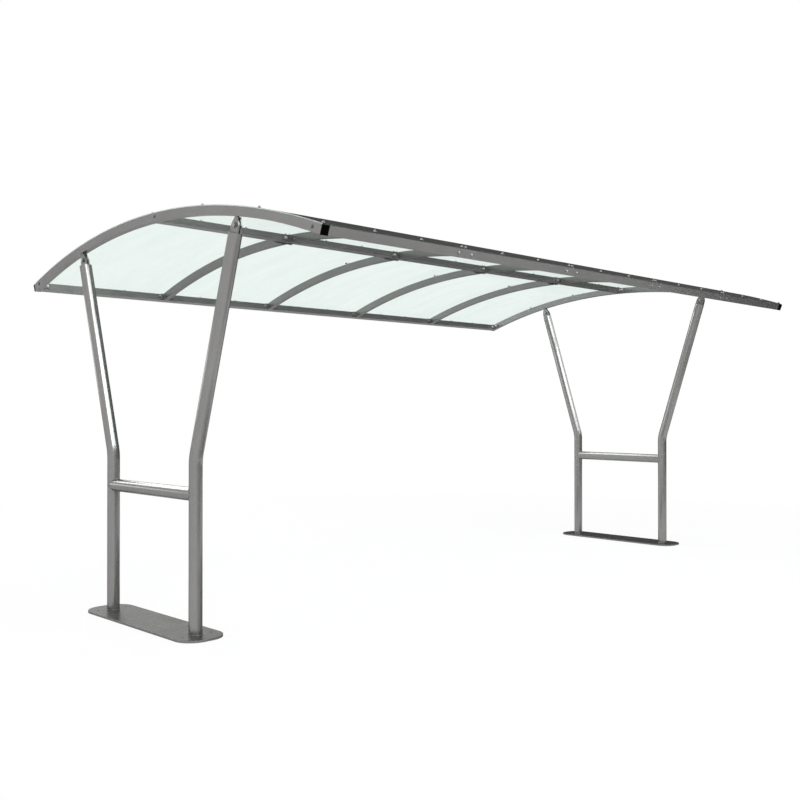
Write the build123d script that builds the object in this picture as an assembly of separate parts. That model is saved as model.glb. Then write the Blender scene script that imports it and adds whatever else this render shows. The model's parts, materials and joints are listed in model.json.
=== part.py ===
from build123d import *
import math
import os

# Bike shelter: a barrel roof of clear sheets on a grid of box tubes, carried by two leg frames.
# +X runs along the shelter, +Y to its back eave, +Z up. The origin is on the ground, at the plan centre.
# Lengths are in millimetres and angles in degrees.

# Roof arch, measured on the centre line of the ribs
bay_count = 5
bay_length = 1000.0
roof_span = 3125.0
roof_rise = 271.0
apex_height = 2374.0

# Box tubes of the roof grid
rib_width = 40.0
rib_height = 50.0
rib_wall = 3.0
eave_beam_width = 40.0
eave_beam_height = 50.0
eave_beam_wall = 3.0
purlin_width = 80.0
purlin_height = 40.0
purlin_wall = 3.0

# Welded end flanges of the half ribs
flange_length = 144.0
flange_height = 44.0
flange_thickness = 5.0

# Angle cleats between the end ribs and the beams, with their reach from the axes of both
cleat_reach = 72.0
cleat_height = 36.0
cleat_thickness = 5.0

# Push-in caps of the end ribs
cap_thickness = 6.0
cap_side_rim = 3.5
cap_seat_clearance = 0.3
cap_edge_cut = 2.0
cap_plug_depth = 18.0
cap_plug_clearance = 0.3

# Roof sheets
sheet_thickness = 5.0
sheet_joint_gap = 4.0

# Bent legs
leg_diameter = 76.1
leg_wall = 2.9
leg_foot_spacing = 926.0
leg_knee_height = 983.0
leg_lean_angle = 17.4
leg_bend_radius = 250.0
leg_top_plate_thickness = 6.0

# Crossbar between the legs of a frame, with its ends coped to the legs
crossbar_diameter = 76.1
crossbar_wall = 2.9
crossbar_height = 784.0
cope_clearance = 0.3

# Forks on the leg tops and the eye lugs of the end ribs, with heights along the leg's lean
fork_height = 88.0
ear_thickness = 8.0
ear_base_width = 70.0
ear_shoulder_width = 68.0
ear_top_width = 28.0
ear_top_clearance = 4.0
ear_shoulder_radius = 24.0
eye_drop = 48.0
lug_thickness = 9.0
lug_eye_radius = 25.0
lug_neck_width = 18.0

# Heads and nuts of the fork bolts
bolt_head_flats = 24.0
bolt_head_height = 10.0
bolt_nut_height = 13.0

# Base plates
plate_length = 1204.0
plate_width = 285.0
plate_thickness = 12.0
plate_corner_radius = 118.0
anchor_hole_diameter = 14.0
anchor_side_inset = 52.5
anchor_end_inset = 122.0

# Worked-out sizes and places
half_length = bay_count * bay_length / 2
half_span = roof_span / 2
arch_radius = (half_span**2 + roof_rise**2) / (2 * roof_rise)
arch_centre = apex_height - arch_radius
half_angle = math.degrees(math.asin(half_span / arch_radius))
rib_under_radius = arch_radius - rib_height / 2
rib_top_radius = arch_radius + rib_height / 2
foot_y = leg_foot_spacing / 2
lean_sine = math.sin(math.radians(leg_lean_angle))
lean_cosine = math.cos(math.radians(leg_lean_angle))
fork_half_width = lug_thickness / 2 + ear_thickness
beam_length = bay_count * bay_length - rib_width


def lean_length():
    """Length of the leg's leaning line, from the knee to the underside of the end rib."""
    knee_above_centre = leg_knee_height - arch_centre
    along = foot_y * lean_sine + knee_above_centre * lean_cosine
    return math.sqrt(along**2 + rib_under_radius**2 - foot_y**2 - knee_above_centre**2) - along


def lean_point(below_rib):
    """Point on the leaning line of the back leg, a length below the end rib, as Y and Z."""
    length = lean_length() - below_rib
    return foot_y + length * lean_sine, leg_knee_height + length * lean_cosine


def arc_degrees(length):
    """Angle that a length takes up on the arch's centre line."""
    return math.degrees(length / arch_radius)


def arch_place(radius, angle):
    """Frame on the arch: local y along the tangent towards the back eave, local z outwards."""
    sine = math.sin(math.radians(angle))
    cosine = math.cos(math.radians(angle))
    origin = (0, radius * sine, arch_centre + radius * cosine)
    return Plane(origin=origin, x_dir=(1, 0, 0), z_dir=(0, sine, cosine))


def arch_bar(inner_radius, outer_radius, start_angle, end_angle, x_min, x_max):
    """Solid bar bent to the arch, between two angles from the apex and two places along X."""
    sweep_angle = end_angle - start_angle
    first_angle = 90 - end_angle
    outer_arc = CenterArc((0, 0), outer_radius, first_angle, sweep_angle)
    inner_arc = CenterArc((0, 0), inner_radius, first_angle, sweep_angle)
    first_end = Line(inner_arc @ 0, outer_arc @ 0)
    last_end = Line(outer_arc @ 1, inner_arc @ 1)
    profile = make_face([outer_arc, last_end, inner_arc, first_end])
    return Pos(x_min, 0, arch_centre) * extrude(Plane.YZ * profile, x_max - x_min)


def arch_tube(start_angle, end_angle, x):
    """Hollow rib between two angles from the apex, centred on a place along X."""
    half_width = rib_width / 2
    half_bore = half_width - rib_wall
    body = arch_bar(rib_under_radius, rib_top_radius, start_angle, end_angle, x - half_width, x + half_width)
    bore = arch_bar(rib_under_radius + rib_wall, rib_top_radius - rib_wall,
                    start_angle, end_angle, x - half_bore, x + half_bore)
    return body - bore


def box_tube(width, height, wall, length):
    """Straight box tube along X, centred on the origin."""
    section = Rectangle(width, height) - Rectangle(width - 2 * wall, height - 2 * wall)
    return extrude(Plane.YZ * section, length / 2, both=True)


def seated_radius(width, height):
    """Centre radius at which a flat-topped tube meets the sheets with both its top corners."""
    return math.sqrt(rib_top_radius**2 - (width / 2)**2) - height / 2


def flange():
    """Flange plate centred on the origin, with its thickness along Y."""
    return Box(flange_length, flange_thickness, flange_height)


def half_rib(x):
    """Rib from the purlin to the back eave beam, with a flange on each end."""
    purlin_flange_y = purlin_width / 2 + flange_thickness / 2
    eave_flange_offset = eave_beam_width / 2 + flange_thickness / 2
    start_angle = arc_degrees(purlin_flange_y)
    end_angle = half_angle - arc_degrees(eave_beam_width + flange_thickness / 2)
    tube = arch_tube(start_angle, end_angle, x)
    inner_flange = Pos(x, purlin_flange_y, apex_height) * flange()
    eave_frame = arch_place(arch_radius, half_angle - arc_degrees(eave_beam_width / 2))
    outer_flange = eave_frame * Pos(x, -eave_flange_offset, 0) * flange()
    return tube + inner_flange + outer_flange


def eye_lug(x):
    """Plate lug under an end rib, with a round eye that the ears of the back fork clamp."""
    eye_y, eye_z = lean_point(eye_drop)
    eye_angle = math.degrees(math.atan2(eye_y, eye_z - arch_centre))
    eye_arch_radius = math.hypot(eye_y, eye_z - arch_centre)
    neck_length = rib_under_radius + rib_wall / 2 - eye_arch_radius
    neck = Pos(0, neck_length / 2) * Rectangle(lug_neck_width, neck_length)
    plate = extrude(Plane.YZ * (Circle(lug_eye_radius) + neck), lug_thickness / 2, both=True)
    return arch_place(eye_arch_radius, eye_angle) * Pos(x, 0, 0) * plate


def end_rib(x):
    """Rib from eave to eave, with an eye lug over each leg."""
    lug = eye_lug(x)
    return arch_tube(-half_angle, half_angle, x) + lug + mirror(lug, about=Plane.XZ)


def rib_cap(x):
    """Push-in cap on the back end of an end rib."""
    cover = Box(rib_width + 2 * cap_side_rim, cap_thickness, rib_height)
    outer_face = cover.faces().sort_by(Axis.Y)[-1]
    cover = chamfer(outer_face.edges(), cap_edge_cut)
    plug_inset = 2 * (rib_wall + cap_plug_clearance)
    plug = Box(rib_width - plug_inset, cap_plug_depth, rib_height - plug_inset)
    cap = Pos(0, cap_thickness / 2, 0) * cover + Pos(0, -cap_plug_depth / 2, 0) * plug
    return arch_place(arch_radius, half_angle) * Pos(x, cap_seat_clearance, 0) * cap


def eave_place():
    """Frame on the axis of the back eave beam, whose outer face is flush with the rib ends."""
    centre_radius = seated_radius(eave_beam_width, eave_beam_height)
    return arch_place(centre_radius, half_angle - arc_degrees(eave_beam_width / 2))


def purlin_place():
    """Frame on the axis of the purlin, under the apex."""
    return arch_place(seated_radius(purlin_width, purlin_height), 0)


def eave_beam():
    """Back eave beam between the end ribs."""
    return eave_place() * box_tube(eave_beam_width, eave_beam_height, eave_beam_wall, beam_length)


def mid_purlin():
    """Purlin between the end ribs."""
    return purlin_place() * box_tube(purlin_width, purlin_height, purlin_wall, beam_length)


def cleat(side, beam_width):
    """Angle plate in the corner between an end rib and the front face of a beam on the X axis."""
    rib_face = rib_width / 2
    beam_face = -beam_width / 2
    inner_x = rib_face + cleat_thickness
    inner_y = beam_face - cleat_thickness
    beam_leg = [(rib_face, beam_face), (cleat_reach, beam_face), (cleat_reach, inner_y)]
    rib_leg = [(inner_x, inner_y), (inner_x, -cleat_reach), (rib_face, -cleat_reach)]
    outline = make_face(Polyline(*beam_leg, *rib_leg, close=True))
    plate = Pos(-half_length, 0, 0) * extrude(outline, cleat_height / 2, both=True)
    return mirror(plate, about=Plane.YZ) if side > 0 else plate


def roof_sheet(bay):
    """Sheet over one bay, jointed over the ribs and flush with the outer face of an end rib."""
    x_min = bay * bay_length - half_length + sheet_joint_gap / 2
    x_max = (bay + 1) * bay_length - half_length - sheet_joint_gap / 2
    if bay == 0:
        x_min = -half_length - rib_width / 2
    if bay == bay_count - 1:
        x_max = half_length + rib_width / 2
    return arch_bar(rib_top_radius, rib_top_radius + sheet_thickness, -half_angle, half_angle, x_min, x_max)


def leg(x):
    """Back leg: upright from the base plate, then bent outwards to the roof, with a closed top."""
    foot = (0, foot_y, plate_thickness)
    knee = (0, foot_y, leg_knee_height)
    top = (0, *lean_point(fork_height))
    path = FilletPolyline(foot, knee, top, radius=leg_bend_radius)
    section = Circle(leg_diameter / 2) - Circle(leg_diameter / 2 - leg_wall)
    tube = sweep(Plane(foot) * section, path)
    top_frame = Plane(origin=top, x_dir=(1, 0, 0), z_dir=(0, lean_sine, lean_cosine))
    top_plate = extrude(top_frame * Circle(leg_diameter / 2), -leg_top_plate_thickness)
    return Pos(x, 0, 0) * (tube + top_plate)


def crossbar(x):
    """Tube between the upright parts of two legs, with its ends coped to them."""
    section = Circle(crossbar_diameter / 2) - Circle(crossbar_diameter / 2 - crossbar_wall)
    tube = extrude(Plane.XZ * section, foot_y, both=True)
    cope = Cylinder(leg_diameter / 2 + cope_clearance, 2 * crossbar_diameter)
    for side in (-1, 1):
        tube -= Pos(0, side * foot_y, 0) * cope
    return Pos(x, 0, crossbar_height) * tube.solid()


def fork(x):
    """Two ear plates on the top of the back leg, with round shoulders that taper to the rib."""
    right_half = [
        (ear_base_width / 2, 0),
        (ear_shoulder_width / 2, fork_height - eye_drop),
        (ear_top_width / 2, fork_height - ear_top_clearance),
    ]
    left_half = [(-y, z) for y, z in reversed(right_half)]
    outline = make_face(Polyline(*right_half, *left_half, close=True))
    shoulders = outline.vertices().group_by(Axis.Y)[1]
    ear = extrude(Plane.YZ * fillet(shoulders, ear_shoulder_radius), ear_thickness)
    foot = (x, *lean_point(fork_height))
    frame = Plane(origin=foot, x_dir=(1, 0, 0), z_dir=(0, lean_sine, lean_cosine))
    return frame * Compound([Pos(lug_thickness / 2, 0, 0) * ear, Pos(-fork_half_width, 0, 0) * ear])


def fork_bolt(x, head_side):
    """Head and nut of the bolt that clamps the back fork. Its shank is out of sight and left out."""
    across_corners_share = 1 / math.cos(math.pi / 6)
    hexagon = RegularPolygon(bolt_head_flats / 2 * across_corners_share, 6)
    head = Pos(0, 0, -fork_half_width - bolt_head_height) * extrude(hexagon, bolt_head_height)
    nut = Pos(0, 0, fork_half_width) * extrude(hexagon, bolt_nut_height)
    place = Plane(origin=(x, *lean_point(eye_drop)), x_dir=(0, 1, 0), z_dir=(-head_side, 0, 0))
    return place * Compound([head, nut])


def base_plate(x):
    """Rounded plate under a leg frame, with four anchor holes."""
    outline = RectangleRounded(plate_width, plate_length, plate_corner_radius)
    spacing_x = plate_width - 2 * anchor_side_inset
    spacing_y = plate_length - 2 * anchor_end_inset
    holes = GridLocations(spacing_x, spacing_y, 2, 2) * Circle(anchor_hole_diameter / 2)
    return Pos(x, 0, 0) * extrude(outline - holes, plate_thickness)


def both_sides(prefix, suffix, solid):
    """The back piece and its mirror image at the front, under their names."""
    return {f"{prefix}back_{suffix}": solid, f"{prefix}front_{suffix}": mirror(solid, about=Plane.XZ)}


nodes = {}
for end, side in (("near", -1), ("far", 1)):
    x = side * half_length
    nodes[f"{end}_base_plate"] = base_plate(x)
    nodes[f"{end}_crossbar"] = crossbar(x)
    nodes[f"{end}_end_rib"] = end_rib(x)
    nodes |= both_sides(f"{end}_", "leg", leg(x))
    nodes |= both_sides(f"{end}_", "fork", fork(x))
    nodes |= both_sides(f"{end}_", "fork_bolt", fork_bolt(x, side))
    nodes |= both_sides(f"{end}_", "rib_cap", rib_cap(x))
    nodes |= both_sides(f"{end}_", "cleat", eave_place() * cleat(side, eave_beam_width))
    nodes[f"{end}_purlin_cleat"] = purlin_place() * cleat(side, purlin_width)

nodes |= both_sides("", "eave_beam", eave_beam())
nodes["mid_purlin"] = mid_purlin()
for index in range(1, bay_count):
    nodes |= both_sides("", f"rib_{index}", half_rib(index * bay_length - half_length))
for bay in range(bay_count):
    nodes[f"roof_sheet_{bay + 1}"] = roof_sheet(bay)

os.makedirs("parts", exist_ok=True)
for name, solid in nodes.items():
    export_step(solid, f"parts/{name}.step")
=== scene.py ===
import json
import math

import bmesh
import bpy
from mathutils import Matrix, Vector


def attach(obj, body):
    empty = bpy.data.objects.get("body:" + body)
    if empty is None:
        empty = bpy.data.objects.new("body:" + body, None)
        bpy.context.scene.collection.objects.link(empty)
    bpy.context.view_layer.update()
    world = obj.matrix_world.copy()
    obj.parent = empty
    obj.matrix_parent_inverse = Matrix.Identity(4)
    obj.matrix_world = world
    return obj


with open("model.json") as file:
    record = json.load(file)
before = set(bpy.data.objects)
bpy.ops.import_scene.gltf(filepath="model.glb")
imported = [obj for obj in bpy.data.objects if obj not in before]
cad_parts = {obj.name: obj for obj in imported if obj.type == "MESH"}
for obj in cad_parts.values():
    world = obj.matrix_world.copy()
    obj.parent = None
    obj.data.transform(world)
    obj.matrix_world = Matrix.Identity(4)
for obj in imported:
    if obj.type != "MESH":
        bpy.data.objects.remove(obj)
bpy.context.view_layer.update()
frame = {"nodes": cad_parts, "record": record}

scene = bpy.context.scene

# Sizes of the CAD part, in metres
BAY_COUNT = 5
BAY = 1.0
HALF_LENGTH = BAY_COUNT * BAY / 2
ROOF_SPAN = 3.125
ROOF_RISE = 0.271
APEX = 2.374
RIB_WIDTH = 0.040
RIB_HEIGHT = 0.050
EAVE_WIDTH = 0.040
EAVE_HEIGHT = 0.050
PURLIN_WIDTH = 0.080
PURLIN_HEIGHT = 0.040
FLANGE_THICKNESS = 0.005
CLEAT_THICKNESS = 0.005
SHEET = 0.005
LEG_RADIUS = 0.03805
FOOT_Y = 0.463
CROSSBAR_Z = 0.784
CROSSBAR_RADIUS = 0.03805
PLATE = 0.012

# Worked-out arch
HALF_SPAN = ROOF_SPAN / 2
ARCH_RADIUS = (HALF_SPAN**2 + ROOF_RISE**2) / (2 * ROOF_RISE)
ARCH_CENTRE = APEX - ARCH_RADIUS
HALF_ANGLE = math.asin(HALF_SPAN / ARCH_RADIUS)
RIB_TOP = ARCH_RADIUS + RIB_HEIGHT / 2
SHEET_TOP = RIB_TOP + SHEET
EAVE_ANGLE = HALF_ANGLE - EAVE_WIDTH / 2 / ARCH_RADIUS
EAVE_RADIUS = math.sqrt(RIB_TOP**2 - (EAVE_WIDTH / 2) ** 2) - EAVE_HEIGHT / 2
PURLIN_RADIUS = math.sqrt(RIB_TOP**2 - (PURLIN_WIDTH / 2) ** 2) - PURLIN_HEIGHT / 2

# Places of the fixings: bolts from the axes of ribs and beams, and screws from the joints of the sheets
BOLT_OFFSET = 0.052
SCREW_OFFSET = 0.015


# Node helpers

def new_material(name):
    """An empty node material, with its node tree and its output."""
    material = bpy.data.materials.new(name)
    material.use_nodes = True
    tree = material.node_tree
    tree.nodes.clear()
    output = tree.nodes.new("ShaderNodeOutputMaterial")
    return material, tree, output


def give(tree, socket, value):
    """Puts a value, or a link from another socket, on a socket."""
    if isinstance(value, bpy.types.NodeSocket):
        tree.links.new(value, socket)
    else:
        socket.default_value = value


def add(tree, kind, values=None, **settings):
    """A node with its settings, and with values or links on its inputs."""
    node = tree.nodes.new(kind)
    for key, value in settings.items():
        setattr(node, key, value)
    for key, value in (values or {}).items():
        give(tree, node.inputs[key], value)
    return node


def noise(tree, scale, detail, roughness=0.5, stretch=None):
    """Noise in object space, as a value, whose coordinates can be stretched along the axes."""
    vector = add(tree, "ShaderNodeTexCoord").outputs["Object"]
    if stretch:
        vector = add(tree, "ShaderNodeMapping", {"Vector": vector, "Scale": stretch}).outputs["Vector"]
    values = {"Scale": scale, "Detail": detail, "Roughness": roughness, "Vector": vector}
    return add(tree, "ShaderNodeTexNoise", values).outputs["Fac"]


def spread(tree, value, low, high, from_low=0.3, from_high=0.7):
    """A value mapped from one range to another, and held there."""
    node = add(tree, "ShaderNodeMapRange", {
        "Value": value, "From Min": from_low, "From Max": from_high, "To Min": low, "To Max": high})
    return node.outputs["Result"]


def blend(tree, factor, first, second):
    """A mix of two colours."""
    node = add(tree, "ShaderNodeMix", data_type="RGBA")
    for index, value in ((0, factor), (6, first), (7, second)):
        give(tree, node.inputs[index], value)
    return node.outputs[2]


def maths(tree, operation, first, second=0.0):
    """A maths node's value."""
    return add(tree, "ShaderNodeMath", {0: first, 1: second}, operation=operation).outputs[0]


def times(tree, first, second):
    """The product of two values."""
    return maths(tree, "MULTIPLY", first, second)


def axis_parts(tree, vector):
    """The X, Y and Z of a vector."""
    return add(tree, "ShaderNodeSeparateXYZ", {"Vector": vector}).outputs


def layered(tree, share, under, over):
    """A share of one shader over another."""
    return add(tree, "ShaderNodeMixShader", {0: share, 1: under.outputs[0], 2: over.outputs[0]})


def scaled(base, shares):
    """A colour whose parts are shares of a base colour's."""
    return (*(part * share for part, share in zip(base, shares)), 1)


# Materials

WHITE = (1, 1, 1, 1)

# Powder coat: the range of its mottling, and what lies on it, with its share or its added roughness
MOTTLE_LOW_SHARES = (0.96, 0.96, 0.96)
MOTTLE_HIGH_SHARES = (1.04, 1.04, 1.04)
FLECK_COLOUR = (0.42, 0.42, 0.42, 1)
FLECK_SHARE = 0.08
WORN_COLOUR = (0.40, 0.40, 0.395, 1)
WORN_EDGE_RADIUS = 0.0014
DUST_COLOUR = (0.36, 0.35, 0.33, 1)
DUST_ROUGHNESS = 0.4
PLATE_SHADE_COLOUR = (0.12, 0.117, 0.112, 1)
PLATE_SHADE_SHARE = 0.5
PLATE_SHADE_ROUGHNESS = 0.05
# Heights between which the painted shade on the base plates fades out, just over their tops
PLATE_SHADE_FADE = (0.0125, 0.016)
# Keeps the metallic paint from turning white at grazing angles
EDGE_TINT = (0.36, 0.36, 0.36, 1)


def paint_material(name, base, roughness, metallic, wear=0.10):
    """Satin metallic powder coat: mottling, orange peel, worn edges, dust, and painted shade on the base
    plates.
    """
    material, tree, output = new_material(name)
    mottle = spread(tree, noise(tree, scale=3.5, detail=4.0), 0.0, 1.0)
    fleck = spread(tree, noise(tree, scale=900.0, detail=1.0), 0.0, 1.0, 0.35, 0.65)
    colour = blend(tree, mottle, scaled(base, MOTTLE_LOW_SHARES), scaled(base, MOTTLE_HIGH_SHARES))
    colour = blend(tree, times(tree, fleck, FLECK_SHARE), colour, FLECK_COLOUR)
    # Pale edges, where the rounded normal leaves the plain one
    bevel = add(tree, "ShaderNodeBevel", {"Radius": WORN_EDGE_RADIUS}, samples=4)
    plain = add(tree, "ShaderNodeNewGeometry")
    facing = add(tree, "ShaderNodeVectorMath", {0: bevel.outputs["Normal"], 1: plain.outputs["Normal"]},
                 operation="DOT_PRODUCT").outputs["Value"]
    edge = spread(tree, facing, 1.0, 0.0, 0.80, 0.98)
    chips = noise(tree, scale=38.0, detail=5.0, roughness=0.65)
    rubbed = times(tree, edge, spread(tree, chips, 0.0, wear, 0.45, 0.7))
    colour = blend(tree, rubbed, colour, WORN_COLOUR)
    # Dust on faces that point up
    up = axis_parts(tree, plain.outputs["Normal"])["Z"]
    settled = noise(tree, scale=11.0, detail=6.0, roughness=0.6)
    dust = times(tree, spread(tree, up, 0.0, 0.06, 0.6, 1.0), spread(tree, settled, 0.2, 1.0))
    colour = blend(tree, dust, colour, DUST_COLOUR)
    # Painted shade: a darker, spattered colour, with a little more roughness, on the base plates
    height = axis_parts(tree, plain.outputs["Position"])["Z"]
    plate_spatter = noise(tree, scale=14.0, detail=6.0, roughness=0.65)
    plate_shade = times(tree, spread(tree, height, 1.0, 0.0, *PLATE_SHADE_FADE), spread(tree, plate_spatter, 0.75, 1.0))
    colour = blend(tree, times(tree, plate_shade, PLATE_SHADE_SHARE), colour, PLATE_SHADE_COLOUR)
    # Orange peel, and smears that change the gloss
    peel = noise(tree, scale=520.0, detail=2.0)
    bump = add(tree, "ShaderNodeBump", {
        "Strength": 0.06, "Distance": 0.0006, "Height": peel, "Normal": bevel.outputs["Normal"]})
    smear = noise(tree, scale=9.0, detail=5.0, roughness=0.6, stretch=(1.0, 1.0, 0.25))
    gloss = spread(tree, smear, roughness - 0.02, roughness + 0.03)
    gloss = maths(tree, "ADD", gloss, times(tree, dust, DUST_ROUGHNESS))
    gloss = maths(tree, "ADD", gloss, times(tree, plate_shade, PLATE_SHADE_ROUGHNESS))
    shader = add(tree, "ShaderNodeBsdfPrincipled", {
        "Base Color": colour, "Roughness": gloss, "Metallic": metallic, "Normal": bump.outputs["Normal"],
        "Specular Tint": EDGE_TINT})
    tree.links.new(shader.outputs[0], output.inputs["Surface"])
    return material


# The darker parts of plated steel, and the plain and the rubbed parts of black plastic
CLOUD_SHARES = (0.78, 0.78, 0.8)
PLAIN_BLACK_SHARES = (1, 1, 1.05)
RUBBED_BLACK_SHARES = (2.2, 2.2, 2.3)


def steel_material(name, base, roughness):
    """Zinc plated steel: fine turned marks and cloudy plating."""
    material, tree, output = new_material(name)
    cloud = spread(tree, noise(tree, scale=160.0, detail=4.0), 0.0, 1.0)
    colour = blend(tree, cloud, scaled(base, CLOUD_SHARES), (*base, 1))
    marks = noise(tree, scale=700.0, detail=3.0, roughness=0.6, stretch=(1.0, 1.0, 6.0))
    bump = add(tree, "ShaderNodeBump", {"Strength": 0.12, "Distance": 0.0003, "Height": marks})
    gloss = spread(tree, marks, roughness - 0.08, roughness + 0.12)
    shader = add(tree, "ShaderNodeBsdfPrincipled", {
        "Base Color": colour, "Roughness": gloss, "Metallic": 1.0, "Normal": bump.outputs["Normal"]})
    tree.links.new(shader.outputs[0], output.inputs["Surface"])
    return material


def black_material(name, base, roughness, specular):
    """Moulded black plastic or rubber, with a fine grain and rubbed patches."""
    material, tree, output = new_material(name)
    patch = spread(tree, noise(tree, scale=60.0, detail=4.0), 0.0, 1.0)
    grey = (base, base, base)
    colour = blend(tree, patch, scaled(grey, PLAIN_BLACK_SHARES), scaled(grey, RUBBED_BLACK_SHARES))
    grain = noise(tree, scale=1400.0, detail=2.0)
    bump = add(tree, "ShaderNodeBump", {"Strength": 0.25, "Distance": 0.0002, "Height": grain})
    gloss = spread(tree, noise(tree, scale=90.0, detail=3.0), roughness - 0.08, roughness + 0.1)
    shader = add(tree, "ShaderNodeBsdfPrincipled", {
        "Base Color": colour, "Roughness": gloss, "Normal": bump.outputs["Normal"],
        "Specular IOR Level": specular})
    tree.links.new(shader.outputs[0], output.inputs["Surface"])
    return material


# Pairs of colours that the clear sheet blends: its tint, its dust, and its cuts, milky with a painted
# highlight along the ribs and painted shade along the eaves
SHEET_TINTS = ((0.925, 0.962, 0.947, 1), (0.905, 0.950, 0.932, 1))
SHEET_DUSTS = ((0.70, 0.80, 0.765, 1), (0.80, 0.88, 0.85, 1))
MILKY_LIT_CUTS = ((0.72, 0.86, 0.81, 1), (0.92, 0.97, 0.95, 1))
SHADED_CUTS = ((0.035, 0.045, 0.042, 1), (0.07, 0.085, 0.08, 1))
# A face is a cut where its normal's Z is less than this, and runs along a rib where its X is more than this
CUT_NORMAL_Z = 0.6
RIB_CUT_NORMAL_X = 0.7
CUT_ROUGHNESS = 0.35
CUT_SHARE = 0.85
# How fast the gloss rises towards grazing angles
GLOSS_POWER = 2.5


def sheet_material(name):
    """Clear plastic sheet with a pale green tint: see-through, glossy, faintly streaked, with a painted
    highlight on its cut edges along the ribs and painted shade on those along the eaves.
    """
    material, tree, output = new_material(name)
    rain = noise(tree, scale=2.2, detail=6.0, roughness=0.6, stretch=(3.0, 0.5, 1.0))
    streak = spread(tree, rain, 0.0, 1.0)
    film = noise(tree, scale=26.0, detail=6.0, roughness=0.65)
    seen = add(tree, "ShaderNodeBsdfTransparent", {"Color": blend(tree, streak, *SHEET_TINTS)})
    dust = add(tree, "ShaderNodeBsdfDiffuse", {"Color": blend(tree, film, *SHEET_DUSTS)})
    dust_share = times(tree, spread(tree, streak, 0.008, 0.03, 0.0, 1.0), spread(tree, film, 0.6, 1.4))
    clear = layered(tree, dust_share, seen, dust)
    scratch = noise(tree, scale=240.0, detail=3.0, roughness=0.6, stretch=(1.0, 0.12, 1.0))
    bump = add(tree, "ShaderNodeBump", {"Strength": 0.03, "Distance": 0.0004, "Height": scratch})
    gloss = add(tree, "ShaderNodeBsdfGlossy", {
        "Color": WHITE, "Roughness": spread(tree, film, 0.03, 0.09), "Normal": bump.outputs["Normal"]})
    # Gloss that rises at grazing angles, and less on the matt underside
    parts = axis_parts(tree, add(tree, "ShaderNodeNewGeometry").outputs["Normal"])
    facing = add(tree, "ShaderNodeLayerWeight", {"Blend": 0.5}).outputs["Facing"]
    steep = spread(tree, facing, 0.0, 1.0, 0.55, 0.95)
    rise = spread(tree, maths(tree, "POWER", steep, GLOSS_POWER), 0.04, 1.0, 0.0, 1.0)
    share = times(tree, rise, spread(tree, parts["Z"], 0.06, 1.0, -0.1, 0.1))
    panel = layered(tree, share, clear, gloss)
    # The cut ends of a sheet: milky, with a painted highlight, along the ribs, and near black with painted
    # shade along the eaves
    saw = noise(tree, scale=300.0, detail=4.0, roughness=0.6, stretch=(1.0, 1.0, 8.0))
    milky_lit_cut = blend(tree, saw, *MILKY_LIT_CUTS)
    shaded_cut = blend(tree, saw, *SHADED_CUTS)
    on_rib = maths(tree, "GREATER_THAN", maths(tree, "ABSOLUTE", parts["X"]), RIB_CUT_NORMAL_X)
    edge = add(tree, "ShaderNodeBsdfPrincipled", {
        "Base Color": blend(tree, on_rib, shaded_cut, milky_lit_cut), "Roughness": CUT_ROUGHNESS})
    cut = maths(tree, "LESS_THAN", maths(tree, "ABSOLUTE", parts["Z"]), CUT_NORMAL_Z)
    whole = layered(tree, times(tree, cut, CUT_SHARE), panel, edge)
    tree.links.new(whole.outputs[0], output.inputs["Surface"])
    return material


PAINT = paint_material("frame_powder_coat", (0.258, 0.254, 0.250), roughness=0.20, metallic=0.75)
# A darker copy of the frame paint for the half ribs: painted shade, standing in for the shade under the
# roof
SHADED_RIB_PAINT = paint_material("shaded_rib_powder_coat", (0.200, 0.197, 0.194), roughness=0.22, metallic=0.75)
# A darker, rougher copy of the frame paint for the weld beads: painted shade that dims their highlight
SHADED_WELD_PAINT = paint_material("shaded_weld_powder_coat", (0.235, 0.231, 0.227), roughness=0.45, metallic=0.7,
                            wear=0.05)
STEEL = steel_material("zinc_plated_steel", (0.66, 0.66, 0.65), roughness=0.26)
SATIN_STEEL = steel_material("satin_plated_steel", (0.50, 0.50, 0.495), roughness=0.32)
DULL_STEEL = steel_material("dull_plated_steel", (0.30, 0.30, 0.295), roughness=0.42)
BLACK = black_material("moulded_black_plastic", 0.0008, roughness=0.6, specular=0.01)
COVER = black_material("bolt_cover_plastic", 0.075, roughness=0.5, specular=0.3)
RUBBER = black_material("washer_rubber", 0.022, roughness=0.62, specular=0.2)
CLEAR = sheet_material("clear_roof_sheet")

SLOT_MATERIAL = {"frame_paint": PAINT, "bolt_steel": DULL_STEEL, "cap_plastic": BLACK, "roof_sheet": CLEAR}
for part in frame["record"]["subparts"]:
    mesh = frame["nodes"][part["node"]].data
    mesh.materials.clear()
    half_rib = part["node"].startswith(("back_rib_", "front_rib_"))
    # The half ribs take the darker copy of the frame paint, as painted shade
    mesh.materials.append(SHADED_RIB_PAINT if half_rib else SLOT_MATERIAL[part["material_slot"]])


# Mesh helpers

def arch_frame(x, angle, radius, sideways=0.0):
    """Frame on the arch: local y along the tangent towards the back eave, local z outwards."""
    sine = math.sin(angle)
    cosine = math.cos(angle)
    axes = Matrix(((1, 0, 0), (0, cosine, sine), (0, -sine, cosine))).to_4x4()
    place = Matrix.Translation((x, radius * sine, ARCH_CENTRE + radius * cosine))
    return place @ axes @ Matrix.Translation((0, sideways, 0))


def face_frame(place, outwards):
    """Frame at a place whose local z points outwards."""
    return Matrix.Translation(place) @ Vector(outwards).to_track_quat("Z", "X").to_matrix().to_4x4()


def circle_points(radius, sides, turn=0.0):
    """Points round local z."""
    angles = [turn + 2 * math.pi * step / sides for step in range(sides)]
    return [(radius * math.cos(angle), radius * math.sin(angle)) for angle in angles]


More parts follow.
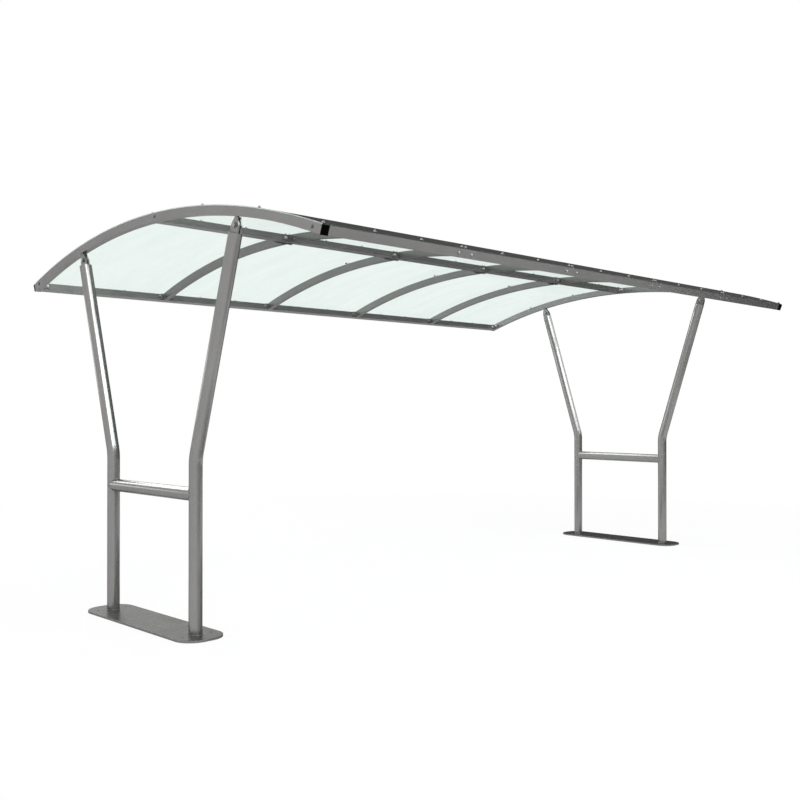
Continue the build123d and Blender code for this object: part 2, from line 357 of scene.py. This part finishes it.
def skin(mesh, rings, slot, smooth):
    """Faces between rings of vertices that follow each other."""
    for low, high in zip(rings, rings[1:]):
        sides = len(low)
        for step in range(sides):
            after = (step + 1) % sides
            face = mesh.faces.new((low[step], low[after], high[after], high[step]))
            face.smooth = smooth
            face.material_index = slot


def lathe(mesh, place, profile, sides, slot, smooth=True, turn=0.0):
    """A turned or prismatic form about local z, from its radius and height pairs, closed at both ends."""
    rings = []
    for radius, height in profile:
        spots = [place @ Vector((x, y, height)) for x, y in circle_points(radius, sides, turn)]
        rings.append([mesh.verts.new(spot) for spot in spots])
    for cap in (rings[0][::-1], rings[-1]):
        mesh.faces.new(cap).material_index = slot
    skin(mesh, rings, slot, smooth)


def nearest(ring, spot):
    """Index of the ring's point that lies nearest to a spot."""
    return min(range(len(ring)), key=lambda step: (ring[step] - spot).length)


def bead(mesh, path, radius, slot=0, sides=8, ripple_share=0.12, pitch=4):
    """A closed weld bead along a path, with the ripples of its passes."""
    count = len(path)
    rings = []
    for index, spot in enumerate(path):
        along = (path[(index + 1) % count] - path[index - 1]).normalized()
        turn = along.to_track_quat("Z", "X").to_matrix()
        swell = radius * (1 + ripple_share * math.sin(2 * math.pi * index / pitch))
        ring = [spot + turn @ Vector((x, y, 0)) for x, y in circle_points(swell, sides)]
        if rings:
            # Keeps the rings from twisting against each other
            first = nearest(ring, rings[-1][0])
            ring = ring[first:] + ring[:first]
        rings.append(ring)
    first = nearest(rings[0], rings[-1][0])
    rings = [[mesh.verts.new(spot) for spot in ring] for ring in rings]
    rings.append(rings[0][first:] + rings[0][:first])
    skin(mesh, rings, slot, True)


def scene_object(name, mesh, materials):
    """Makes an object of a mesh, in the scene."""
    data = bpy.data.meshes.new(name)
    mesh.to_mesh(data)
    mesh.free()
    for material in materials:
        data.materials.append(material)
    item = bpy.data.objects.new(name, data)
    scene.collection.objects.link(item)
    return item


def piece(name, mesh, materials):
    """Makes an object of a mesh, which rides on the frame."""
    bmesh.ops.recalc_face_normals(mesh, faces=mesh.faces)
    item = scene_object(name, mesh, materials)
    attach(item, "root")


# Fixings

# Profiles of a roofing screw and of a bolt cover, as radius and height pairs
SCREW_RUBBER = ((0.0085, 0.0), (0.0095, 0.0006), (0.0095, 0.0018), (0.0088, 0.0024))
SCREW_WASHER = ((0.0100, 0.0020), (0.0102, 0.0026), (0.0096, 0.0033), (0.0062, 0.0042))
SCREW_FLANGE = ((0.0066, 0.0040), (0.0068, 0.0047), (0.0058, 0.0054))
SCREW_CORNER = 0.0055
SCREW_TOP_SHARE = 0.87
SCREW_HEAD = ((SCREW_CORNER, 0.0050), (SCREW_CORNER, 0.0094), (SCREW_CORNER * SCREW_TOP_SHARE, 0.0102))
COVER_RIM = ((0.0098, 0.0), (0.0105, 0.0004), (0.0105, 0.0014), (0.0094, 0.0020))
COVER_RADIUS = 0.0088
COVER_FOOT = 0.0018
COVER_RISE = 0.0050
COVER_ANGLE_STEP = 0.25
COVER_RINGS = 6
COVER_ANGLES = [COVER_ANGLE_STEP * ring for ring in range(COVER_RINGS)]
COVER_DOME = [(COVER_RADIUS * math.cos(angle), COVER_FOOT + COVER_RISE * math.sin(angle))
              for angle in COVER_ANGLES]

# Washers, bolts and nuts
WASHER_THICKNESS = 0.002
WASHER_EDGE = 0.0004
WASHER_FACE_SHARE = 0.96
# Width of the foot as a share, rise of the foot, and height of the chamfer's lower edge as a share
BOLT_HEXAGON = (0.94, 0.0006, 0.86)
NUT_HEXAGON = (0.92, 0.0008, 0.9)
CHAMFER_SHARE = 0.86
# Rings of a bolt's dished crown: shares of its flats, and heights to which the head's is added
BOLT_CROWN = ((0.43, 0.0018), (0.40, 0.0023), (0.2, 0.0022))
THREAD_TURNS = 4
THREAD_PITCH = 0.0011
THREAD_ROOT_SHARE = 0.86
# Rings of a bolt's end: shares of its radius, and heights over its nut
THREAD_END = ((0.95, 0.0046), (0.7, 0.0054))

HEXAGON_SIDES = 6
THREAD_SIDES = 16
ROUND_SIDES = 20
WASHER_SIDES = 24

# The smaller bolts of the eave beams: flats, head and washer
EAVE_BOLT = (0.013, 0.0055, 0.0085)

# Turns of bolts and nuts, in radians: at the first rib, and further at each rib after it
EAVE_BOLT_TURNS = (0.0, 0.3)
EAVE_NUT_TURNS = (0.5, 0.4)
PURLIN_NUT_TURNS = (0.2, 0.35)
CLEAT_NUT_TURN = 0.4
CLEAT_BOLT_TURN = 0.2


def turn_at(turns, index):
    """Turn of a bolt or nut at a rib."""
    first, further = turns
    return first + further * index


def roof_screw(mesh, place):
    """Roofing screw on a sheet: rubber washer, dished steel washer and a flanged hexagon head."""
    lathe(mesh, place, SCREW_RUBBER, ROUND_SIDES, 1)
    lathe(mesh, place, SCREW_WASHER, ROUND_SIDES, 0)
    lathe(mesh, place, SCREW_FLANGE, ROUND_SIDES, 0)
    lathe(mesh, place, SCREW_HEAD, HEXAGON_SIDES, 0, False)


def flat_washer(mesh, place, radius, slot):
    """Flat washer with broken edges."""
    face_radius = radius * WASHER_FACE_SHARE
    profile = ((face_radius, 0.0), (radius, WASHER_EDGE), (radius, WASHER_THICKNESS - WASHER_EDGE),
               (face_radius, WASHER_THICKNESS))
    lathe(mesh, place, profile, WASHER_SIDES, slot)


def hexagon(mesh, place, flats, height, form, slot, turn):
    """Hexagon on a washer, with a narrower foot and a chamfered top."""
    foot_share, foot_rise, side_share = form
    corner = flats / 2 / math.cos(math.pi / HEXAGON_SIDES)
    foot = WASHER_THICKNESS
    profile = ((corner * foot_share, foot), (corner, foot + foot_rise),
               (corner, foot + height * side_share), (corner * CHAMFER_SHARE, foot + height))
    lathe(mesh, place, profile, HEXAGON_SIDES, slot, False, turn)


def hex_bolt(mesh, place, turn=0.0, flats=0.016, head=0.0064, washer=0.0105):
    """Hexagon bolt head on a washer, with a dished crown."""
    flat_washer(mesh, place, washer, 0)
    hexagon(mesh, place, flats, head, BOLT_HEXAGON, 0, turn)
    crown = [(flats * share, rise + head) for share, rise in BOLT_CROWN]
    lathe(mesh, place, crown, ROUND_SIDES, 0)


def hex_nut(mesh, place, turn=0.0, slot=0, flats=0.016, height=0.009, washer=0.0105, thread=0.005):
    """Nut on a washer, with the end of its bolt standing out."""
    flat_washer(mesh, place, washer, slot)
    hexagon(mesh, place, flats, height, NUT_HEXAGON, slot, turn)
    end = WASHER_THICKNESS + height
    profile = []
    for step in range(THREAD_TURNS):
        crest = end + THREAD_PITCH * step
        profile += [(thread, crest), (thread * THREAD_ROOT_SHARE, crest + THREAD_PITCH / 2)]
    profile += [(thread * share, end + rise) for share, rise in THREAD_END]
    lathe(mesh, place, profile, THREAD_SIDES, slot)


def bolt_cover(mesh, place):
    """Domed plastic cover on a bolt head, with a rim round its foot."""
    lathe(mesh, place, COVER_RIM, WASHER_SIDES, 0)
    lathe(mesh, place, COVER_DOME, WASHER_SIDES, 0)


THIRDS = (1 / 3, 2 / 3)
rib_places = [index * BAY - HALF_LENGTH for index in range(1, BAY_COUNT)]
third_places = [(bay + share) * BAY - HALF_LENGTH for bay in range(BAY_COUNT) for share in THIRDS]
joint_places = [x + side * SCREW_OFFSET for x in rib_places for side in (-1, 1)]
line_places = sorted(third_places + joint_places + [-HALF_LENGTH, HALF_LENGTH])

# Rows of roofing screws along the eaves and the purlin
for label, angle in (("front_eave", -EAVE_ANGLE), ("mid_purlin", 0.0), ("back_eave", EAVE_ANGLE)):
    mesh = bmesh.new()
    for x in line_places:
        roof_screw(mesh, arch_frame(x, angle, SHEET_TOP))
    piece(f"{label}_roof_screws", mesh, (DULL_STEEL, RUBBER))

# Rows of roofing screws along the ribs
rib_rows = [("near_rib", (-HALF_LENGTH,), THIRDS), ("far_rib", (HALF_LENGTH,), THIRDS)]
for index, x in enumerate(rib_places):
    rib_rows.append((f"rib_{index + 1}", (x - SCREW_OFFSET, x + SCREW_OFFSET), THIRDS[:1]))
for label, places, shares in rib_rows:
    mesh = bmesh.new()
    for x in places:
        for share in shares:
            for side in (-1, 1):
                roof_screw(mesh, arch_frame(x, side * share * EAVE_ANGLE, SHEET_TOP))
    piece(f"{label}_roof_screws", mesh, (DULL_STEEL, RUBBER))

# Bolts through the flanges of the ribs: heads on the eave beams, nuts on the flanges
for label, side in (("front", -1), ("back", 1)):
    heads = bmesh.new()
    nuts = bmesh.new()
    for index, x in enumerate(rib_places):
        for offset in (-BOLT_OFFSET, BOLT_OFFSET):
            spot = arch_frame(x + offset, side * EAVE_ANGLE, EAVE_RADIUS, side * EAVE_WIDTH / 2)
            tangent = spot.to_3x3() @ Vector((0, side, 0))
            bolt_turn = turn_at(EAVE_BOLT_TURNS, index)
            hex_bolt(heads, face_frame(spot.translation, tangent), bolt_turn, *EAVE_BOLT)
            inner = arch_frame(x + offset, side * EAVE_ANGLE, ARCH_RADIUS,
                               -side * (EAVE_WIDTH / 2 + FLANGE_THICKNESS))
            # The nuts inside the eave beams take the darker steel of slot 1 as painted shade; the purlin's
            # nuts keep the satin steel
            hex_nut(nuts, face_frame(inner.translation, -tangent), turn_at(EAVE_NUT_TURNS, index), slot=1)
            top = (x + offset, side * (PURLIN_WIDTH / 2 + FLANGE_THICKNESS), APEX)
            hex_nut(nuts, face_frame(top, (0, side, 0)), turn_at(PURLIN_NUT_TURNS, index))
    piece(f"{label}_eave_bolts", heads, (SATIN_STEEL,))
    piece(f"{label}_flange_nuts", nuts, (SATIN_STEEL, DULL_STEEL))

# Covered bolts through the end ribs into the cleats, their nuts, and bolts from the cleats into the beams
covers = bmesh.new()
cleat_bolts = bmesh.new()
for end in (-1, 1):
    outer_x = end * (HALF_LENGTH + RIB_WIDTH / 2)
    inner_x = end * (HALF_LENGTH - RIB_WIDTH / 2 - CLEAT_THICKNESS)
    beam_x = end * (HALF_LENGTH - BOLT_OFFSET)
    for angle, radius, side, beam_face in ((0.0, PURLIN_RADIUS, 1, PURLIN_WIDTH / 2),
                                           (EAVE_ANGLE, EAVE_RADIUS, 1, EAVE_WIDTH / 2),
                                           (-EAVE_ANGLE, EAVE_RADIUS, -1, EAVE_WIDTH / 2)):
        outer = arch_frame(outer_x, angle, radius, -side * BOLT_OFFSET)
        bolt_cover(covers, face_frame(outer.translation, (end, 0, 0)))
        inner = arch_frame(inner_x, angle, radius, -side * BOLT_OFFSET)
        hex_nut(cleat_bolts, face_frame(inner.translation, (-end, 0, 0)), CLEAT_NUT_TURN)
        spot = arch_frame(beam_x, angle, radius, -side * (beam_face + CLEAT_THICKNESS))
        tangent = spot.to_3x3() @ Vector((0, -side, 0))
        hex_bolt(cleat_bolts, face_frame(spot.translation, tangent), CLEAT_BOLT_TURN)
piece("end_rib_bolt_covers", covers, (COVER,))
piece("cleat_bolts", cleat_bolts, (STEEL,))

# Weld beads round the feet of the legs and round the ends of the crossbars
BEAD_STEPS = 240
FOOT_BEAD = 0.0016
FOOT_BEAD_RISE_SHARE = 0.35
FOOT_BEAD_RISE = FOOT_BEAD * FOOT_BEAD_RISE_SHARE
SADDLE_BEAD = 0.0028
SADDLE_GAP = 0.0008
SADDLE_WIDTH_SHARE = 1.01
SADDLE_HEIGHT_SHARE = 1.02
for label, x in (("near", -HALF_LENGTH), ("far", HALF_LENGTH)):
    mesh = bmesh.new()
    for side in (-1, 1):
        ring = circle_points(LEG_RADIUS + FOOT_BEAD_RISE, BEAD_STEPS)
        path = [Vector((x + across, side * FOOT_Y + along, PLATE + FOOT_BEAD_RISE))
                for across, along in ring]
        bead(mesh, path, FOOT_BEAD)
        path = []
        for across, up in circle_points(CROSSBAR_RADIUS, BEAD_STEPS, math.pi / BEAD_STEPS):
            reach = math.sqrt(max(LEG_RADIUS**2 - across**2, 0.0)) + SADDLE_GAP
            path.append(Vector((x + across * SADDLE_WIDTH_SHARE, side * (FOOT_Y - reach),
                                CROSSBAR_Z + up * SADDLE_HEIGHT_SHARE)))
        bead(mesh, path, SADDLE_BEAD)
    # The beads take the darker copy of the paint, as painted shade
    piece(f"{label}_frame_welds", mesh, (SHADED_WELD_PAINT,))


# Floor, cards and world

FLOOR_RADIUS = 60.0
FLOOR_SIDES = 96
FLOOR_DROP = 0.0006
FLOOR_TONES = (0.86, 0.90)
# Shares of the white background in the floor, and the distances between which the share rises
FLOOR_WHITE_SHARES = (0.86, 1.0)
FLOOR_FADE = (3.5, 7.0)


def path_share(tree):
    """1 for camera, glossy and transmission rays, and 0 for the rest."""
    path = add(tree, "ShaderNodeLightPath")
    both = maths(tree, "MAXIMUM", path.outputs["Is Camera Ray"], path.outputs["Is Glossy Ray"])
    return maths(tree, "MAXIMUM", both, path.outputs["Is Transmission Ray"])


def floor_material():
    """Pale floor that fades into the white background and keeps the object's shadow."""
    material, tree, output = new_material("pale_floor")
    spot = add(tree, "ShaderNodeTexCoord").outputs["Object"]
    reach = add(tree, "ShaderNodeVectorMath", {0: spot}, operation="LENGTH").outputs["Value"]
    fade = spread(tree, reach, *FLOOR_WHITE_SHARES, *FLOOR_FADE)
    tone = spread(tree, noise(tree, scale=0.8, detail=4.0), *FLOOR_TONES)
    grey = add(tree, "ShaderNodeCombineColor", {0: tone, 1: tone, 2: tone})
    matte = add(tree, "ShaderNodeBsdfDiffuse", {"Color": grey.outputs[0]})
    white = add(tree, "ShaderNodeEmission", {"Color": WHITE, "Strength": 1.0})
    mix = layered(tree, times(tree, path_share(tree), fade), matte, white)
    tree.links.new(mix.outputs[0], output.inputs["Surface"])
    return material


def card_material(name, stops, by_azimuth):
    """Graded card that shades the reflections, from its brightness at some azimuths or places along Y."""
    material, tree, output = new_material(name)
    parts = axis_parts(tree, add(tree, "ShaderNodeTexCoord").outputs["Object"])
    place = parts["Y"]
    if by_azimuth:
        place = maths(tree, "ARCTAN2", place, parts["X"])
        stops = [(math.radians(degrees), level) for degrees, level in stops]
    first, last = stops[0][0], stops[-1][0]
    ramp = add(tree, "ShaderNodeValToRGB", {"Fac": spread(tree, place, 0.0, 1.0, first, last)})
    elements = ramp.color_ramp.elements
    while len(elements) < len(stops):
        elements.new(0.5)
    for element, (at, level) in zip(elements, stops):
        element.position = (at - first) / (last - first)
        element.color = (level, level, level, 1)
    glow = add(tree, "ShaderNodeEmission", {"Color": ramp.outputs["Color"], "Strength": 1.0})
    tree.links.new(glow.outputs[0], output.inputs["Surface"])
    return material


def stage_object(name, mesh, material):
    """Makes an object of a mesh, with its one material, in the scene."""
    item = scene_object(name, mesh, (material,))
    return item


mesh = bmesh.new()
bmesh.ops.create_circle(mesh, cap_ends=True, segments=FLOOR_SIDES, radius=FLOOR_RADIUS)
floor = stage_object("floor", mesh, floor_material())
floor.location.z = -FLOOR_DROP

# Graded cards that only reflections see, with their brightness at some azimuths, in degrees.
# A tall one stands in a wide arc round the front and the far end, and a low one before the near frame.
CARD_STEPS = 60
ARC_RADIUS = 11.5
ARC_LEVELS = ((-130, 1.0), (-119, 0.78), (-100, 0.52), (-78, 0.28),
              (-64, 0.18), (-50, 0.11), (-25, 0.08), (62, 0.06))
ARC_TOPS = ((-130, 4.6), (-80, 4.8), (-68, 9.5), (-60, 16.0), (-25, 16.0),
            (-8, 7.0), (14, 7.8), (40, 12.0), (62, 13.0))
SKIRT_RADIUS = 5.2
SKIRT_HEIGHT = 0.28
SKIRT_LEVELS = ((-114, 0.9), (-100, 0.52), (-88, 0.32), (-66, 0.12), (-44, 0.05))
SKIRT_TOPS = ((-114, SKIRT_HEIGHT), (-44, SKIRT_HEIGHT))

# One lies on the floor, with its brightness at some places along Y, and its corners at the first and last
FLOOR_CARD_Z = 0.003
FLOOR_LEVELS = ((-9.0, 0.60), (-7.5, 0.66), (-6.4, 0.70), (-5.2, 0.66), (-4.2, 0.54), (-3.8, 0.60))
FLOOR_CARD_FIRST_X = (-2.6, 9.0)
FLOOR_CARD_LAST_X = (9.0, -1.4)

# Fans lie on the floor round the near frame and round its two feet, each a little over the one before
FAN_LEVELS = ((-115, 1.0), (-100, 0.82), (-88, 0.68), (-66, 0.48), (-44, 0.28), (-20, 0.20), (25, 0.22))
FAN_RADII = (0.8, 3.1)
FOOT_FAN_LEVELS = FAN_LEVELS[:-1] + ((62, 0.20),)
FOOT_FAN_RADII = (0.1, 0.9)
FAN_HEIGHTS = (0.004, 0.005, 0.006)

# Rays that pass the cards by, so that only reflections see them
CARD_HIDDEN_FROM = ("camera", "diffuse", "shadow", "transmission", "volume_scatter")


def between_stops(stops, at):
    """Value at a place between some stops."""
    for (low, first), (high, second) in zip(stops, stops[1:]):
        if at <= high:
            return first + (second - first) * (at - low) / (high - low)
    return stops[-1][1]


def card_azimuths(levels):
    """Even azimuths from the first level to the last, in degrees."""
    first, last = levels[0][0], levels[-1][0]
    return [first + (last - first) * step / CARD_STEPS for step in range(CARD_STEPS + 1)]


def shade_card(name, mesh, levels, by_azimuth, place=(0, 0, 0)):
    """A card at a place, which only reflections see."""
    card = stage_object(name, mesh, card_material(f"{name}_shade", levels, by_azimuth))
    card.location = place
    for ray in CARD_HIDDEN_FROM:
        setattr(card, f"visible_{ray}", False)


def standing_card(name, radius, levels, tops, place=(0, 0, 0)):
    """Graded card that stands in an arc round a place, with its height at some azimuths."""
    mesh = bmesh.new()
    columns = []
    for degrees in card_azimuths(levels):
        angle = math.radians(degrees)
        x, y = radius * math.cos(angle), radius * math.sin(angle)
        columns.append([mesh.verts.new((x, y, z)) for z in (0.0, between_stops(tops, degrees))])
    for first, second in zip(columns, columns[1:]):
        mesh.faces.new((first[0], second[0], second[1], first[1]))
    shade_card(name, mesh, levels, True, place)


def fan_card(name, place, levels, radii):
    """Graded fan that lies on the floor round a place."""
    mesh = bmesh.new()
    columns = []
    for degrees in card_azimuths(levels):
        angle = math.radians(degrees)
        spots = [(radius * math.cos(angle), radius * math.sin(angle), 0.0) for radius in radii]
        columns.append([mesh.verts.new(spot) for spot in spots])
    for first, second in zip(columns, columns[1:]):
        mesh.faces.new((first[0], first[1], second[1], second[0]))
    shade_card(name, mesh, levels, True, place)


standing_card("arc_card", ARC_RADIUS, ARC_LEVELS, ARC_TOPS)
mesh = bmesh.new()
first_y, last_y = FLOOR_LEVELS[0][0], FLOOR_LEVELS[-1][0]
corners = [(x, first_y) for x in FLOOR_CARD_FIRST_X] + [(x, last_y) for x in FLOOR_CARD_LAST_X]
mesh.faces.new([mesh.verts.new((x, y, FLOOR_CARD_Z)) for x, y in corners])
shade_card("floor_card", mesh, FLOOR_LEVELS, False)
fan_card("fan_card", (-HALF_LENGTH, 0, FAN_HEIGHTS[0]), FAN_LEVELS, FAN_RADII)
fan_card("front_foot_card", (-HALF_LENGTH, -FOOT_Y, FAN_HEIGHTS[1]), FOOT_FAN_LEVELS, FOOT_FAN_RADII)
fan_card("back_foot_card", (-HALF_LENGTH, FOOT_Y, FAN_HEIGHTS[2]), FOOT_FAN_LEVELS, FOOT_FAN_RADII)
standing_card("skirt_card", SKIRT_RADIUS, SKIRT_LEVELS, SKIRT_TOPS, (-HALF_LENGTH, 0, 0))

# White where it is seen, and a dimmer, cooler fill for the light on matt faces
FILL_COLOUR = (0.97, 0.985, 1, 1)
FILL_STRENGTH = 0.5
scene.view_settings.view_transform = "Standard"
world = bpy.data.worlds.new("studio")
scene.world = world
world.use_nodes = True
tree = world.node_tree
tree.nodes.clear()
seen = add(tree, "ShaderNodeBackground", {"Color": WHITE, "Strength": 1.0})
fill = add(tree, "ShaderNodeBackground", {"Color": FILL_COLOUR, "Strength": FILL_STRENGTH})
mix = layered(tree, path_share(tree), fill, seen)
output = add(tree, "ShaderNodeOutputWorld")
tree.links.new(mix.outputs[0], output.inputs["Surface"])


# Lamps and camera

# Name, place, height aimed at over the X axis, width, height, radiance, and whether only gloss shows it
PANELS = (
    ("front_panel", (-2.25, -8.5, 6.9), 1.4, 13.5, 2.8, 5.6, False),
    ("back_panel", (-1.55, 9.0, 5.65), 1.2, 6.9, 2.2, 7.1, False),
    ("high_back_panel", (1.5, 9.0, 10.0), 0.8, 12.0, 7.0, 4.5, True),
    ("high_front_panel", (-4.5, -8.5, 9.7), 0.8, 11.0, 3.0, 5.0, True),
    ("low_back_panel", (-5.8, 9.0, 2.0), 0.8, 4.2, 1.2, 3.0, True),
    ("top_panel", (0, 0, 7.5), 0.0, 7.0, 4.0, 2.5, False),
)
FAR_LEG_PANEL_PLACE = (5.41, -2.77, 3.71)
FAR_LEG_PANEL_TARGET = (2.5, 0.7, 1.6)
FAR_LEG_PANEL_SIZE = (12.0, 3.0)
FAR_LEG_PANEL_RADIANCE = 2.0

CAMERA_PLACE = (-5.390261, -4.982497, 1.275992)
CAMERA_TILT = 90.334
CAMERA_TURN = -44.75
CAMERA_LENS = 42.684
CAMERA_SENSOR = 36.0
CAMERA_REACH = 200.0


def panel_lamp(name, place, target, width, height, radiance, glossy_alone):
    """Area lamp with an even radiance, aimed at a target and not seen by the camera."""
    lamp = bpy.data.lights.new(name, "AREA")
    lamp.shape = "RECTANGLE"
    lamp.size = width
    lamp.size_y = height
    lamp.energy = radiance * math.pi * width * height
    item = bpy.data.objects.new(name, lamp)
    scene.collection.objects.link(item)
    item.location = place
    aim = Vector(target) - Vector(place)
    item.rotation_euler = aim.to_track_quat("-Z", "Y").to_euler()
    item.visible_camera = False
    item.visible_diffuse = not glossy_alone
    return item


# The panels shape the reflections in the paint, and leave out the clear sheets
sheets = bpy.data.collections.new("sheets_without_panels")
for part in frame["record"]["subparts"]:
    if part["material_slot"] == "roof_sheet":
        sheets.objects.link(frame["nodes"][part["node"]])
for entry in sheets.collection_objects:
    entry.light_linking.link_state = "EXCLUDE"
for name, place, aim_height, width, height, radiance, glossy_alone in PANELS:
    lamp = panel_lamp(name, place, (place[0], 0, aim_height), width, height, radiance, glossy_alone)
    lamp.light_linking.receiver_collection = sheets

# A soft panel for the far back leg alone, whose right side is bright
far_leg = bpy.data.collections.new("far_back_leg_alone")
far_leg.objects.link(frame["nodes"]["far_back_leg"])
lamp = panel_lamp("far_leg_panel", FAR_LEG_PANEL_PLACE, FAR_LEG_PANEL_TARGET, *FAR_LEG_PANEL_SIZE,
                  FAR_LEG_PANEL_RADIANCE, True)
lamp.light_linking.receiver_collection = far_leg

camera = bpy.data.cameras.new("camera")
camera.sensor_width = CAMERA_SENSOR
camera.lens = CAMERA_LENS
camera.clip_end = CAMERA_REACH
item = bpy.data.objects.new("camera", camera)
scene.collection.objects.link(item)
item.location = CAMERA_PLACE
item.rotation_euler = (math.radians(CAMERA_TILT), 0.0, math.radians(CAMERA_TURN))
scene.camera = item

bpy.context.view_layer.update()
